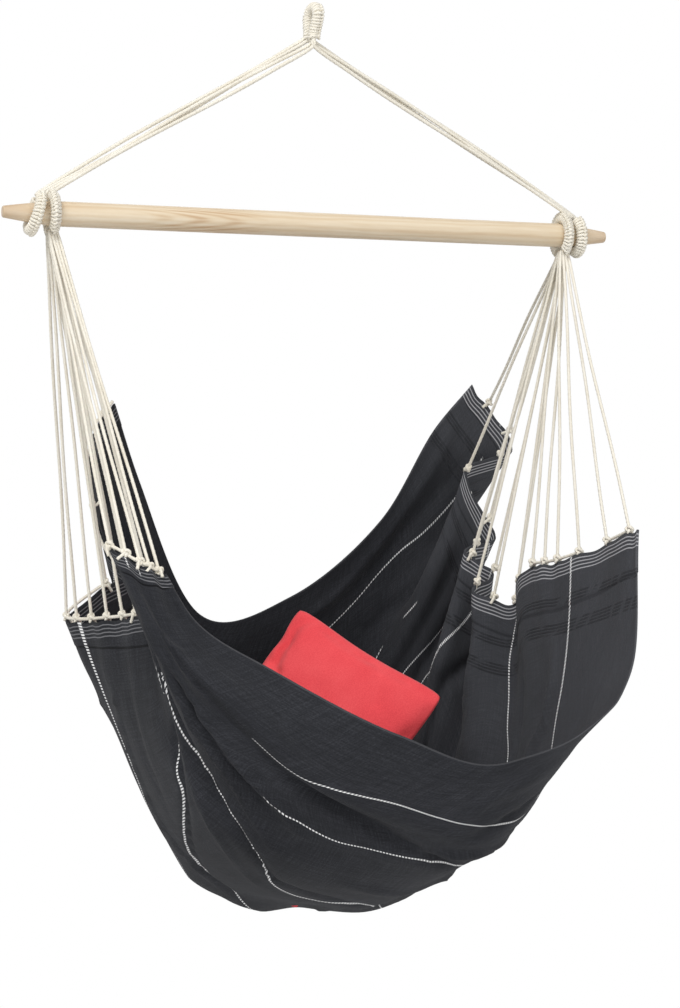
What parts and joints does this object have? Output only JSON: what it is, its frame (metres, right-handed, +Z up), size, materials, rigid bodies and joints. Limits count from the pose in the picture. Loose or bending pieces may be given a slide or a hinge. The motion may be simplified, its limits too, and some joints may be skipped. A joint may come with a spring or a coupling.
{
  "type": "hammock chair",
  "caption": "Hanging chair: a dark cloth seat on knotted cotton strings under a tapered wooden spreader bar, held by one served cord eye, with a loose red cushion.",
  "frame": {"origin": "point at the top of the hanging eye where it bears on the hook or ring that holds it up", "axes": "+X along the spreader bar, to the right of someone facing the seat's front; +Y to the back of the seat; +Z up"},
  "size_m": [1.05, 0.8079, 1.5001],
  "materials": {
    "bar_wood": "satin, lightly sealed",
    "cotton_cord": "matt twisted cotton",
    "seat_cloth": "matt woven cotton",
    "cushion_cover": "matt woven cotton"
  },
  "bodies": {
    "bar_frame": {"hanging_eye_core": "cotton_cord", "hanging_eye_winding": "cotton_cord", "upper_cord_left_1": "cotton_cord", "upper_cord_left_2": "cotton_cord", "upper_cord_left_3": "cotton_cord", "upper_cord_left_4": "cotton_cord", "upper_cord_right_1": "cotton_cord", "upper_cord_right_2": "cotton_cord", "upper_cord_right_3": "cotton_cord", "upper_cord_right_4": "cotton_cord", "upper_ring_left_core": "cotton_cord", "upper_ring_left_winding": "cotton_cord", "upper_ring_right_core": "cotton_cord", "upper_ring_right_winding": "cotton_cord", "spreader_bar": "bar_wood"},
    "seat": {"string_ring_left_core": "cotton_cord", "string_ring_left_winding": "cotton_cord", "string_ring_right_core": "cotton_cord", "string_ring_right_winding": "cotton_cord", "string_loop_left_1": "cotton_cord", "string_loop_left_2": "cotton_cord", "string_loop_left_3": "cotton_cord", "string_loop_left_4": "cotton_cord", "string_loop_left_5": "cotton_cord", "string_loop_left_6": "cotton_cord", "string_loop_left_7": "cotton_cord", "string_loop_left_8": "cotton_cord", "string_loop_left_9": "cotton_cord", "string_loop_right_1": "cotton_cord", "string_loop_right_2": "cotton_cord", "string_loop_right_3": "cotton_cord", "string_loop_right_4": "cotton_cord", "string_loop_right_5": "cotton_cord", "string_loop_right_6": "cotton_cord", "string_loop_right_7": "cotton_cord", "string_loop_right_8": "cotton_cord", "string_loop_right_9": "cotton_cord", "seat_cloth": "seat_cloth"},
    "cushion": {"cushion": "cushion_cover"}
  },
  "joints": [
    {"name": "seat_swing", "type": "hinge", "parent": "bar_frame", "child": "seat", "pos_m": [0, 0, -0.348], "axis": [1, 0, 0], "range_deg": [-30, 30]},
    {"name": "cushion_lift", "type": "slide", "parent": "seat", "child": "cushion", "axis": [0, 0, 1], "range_m": [0, 0.2]}
  ]
}
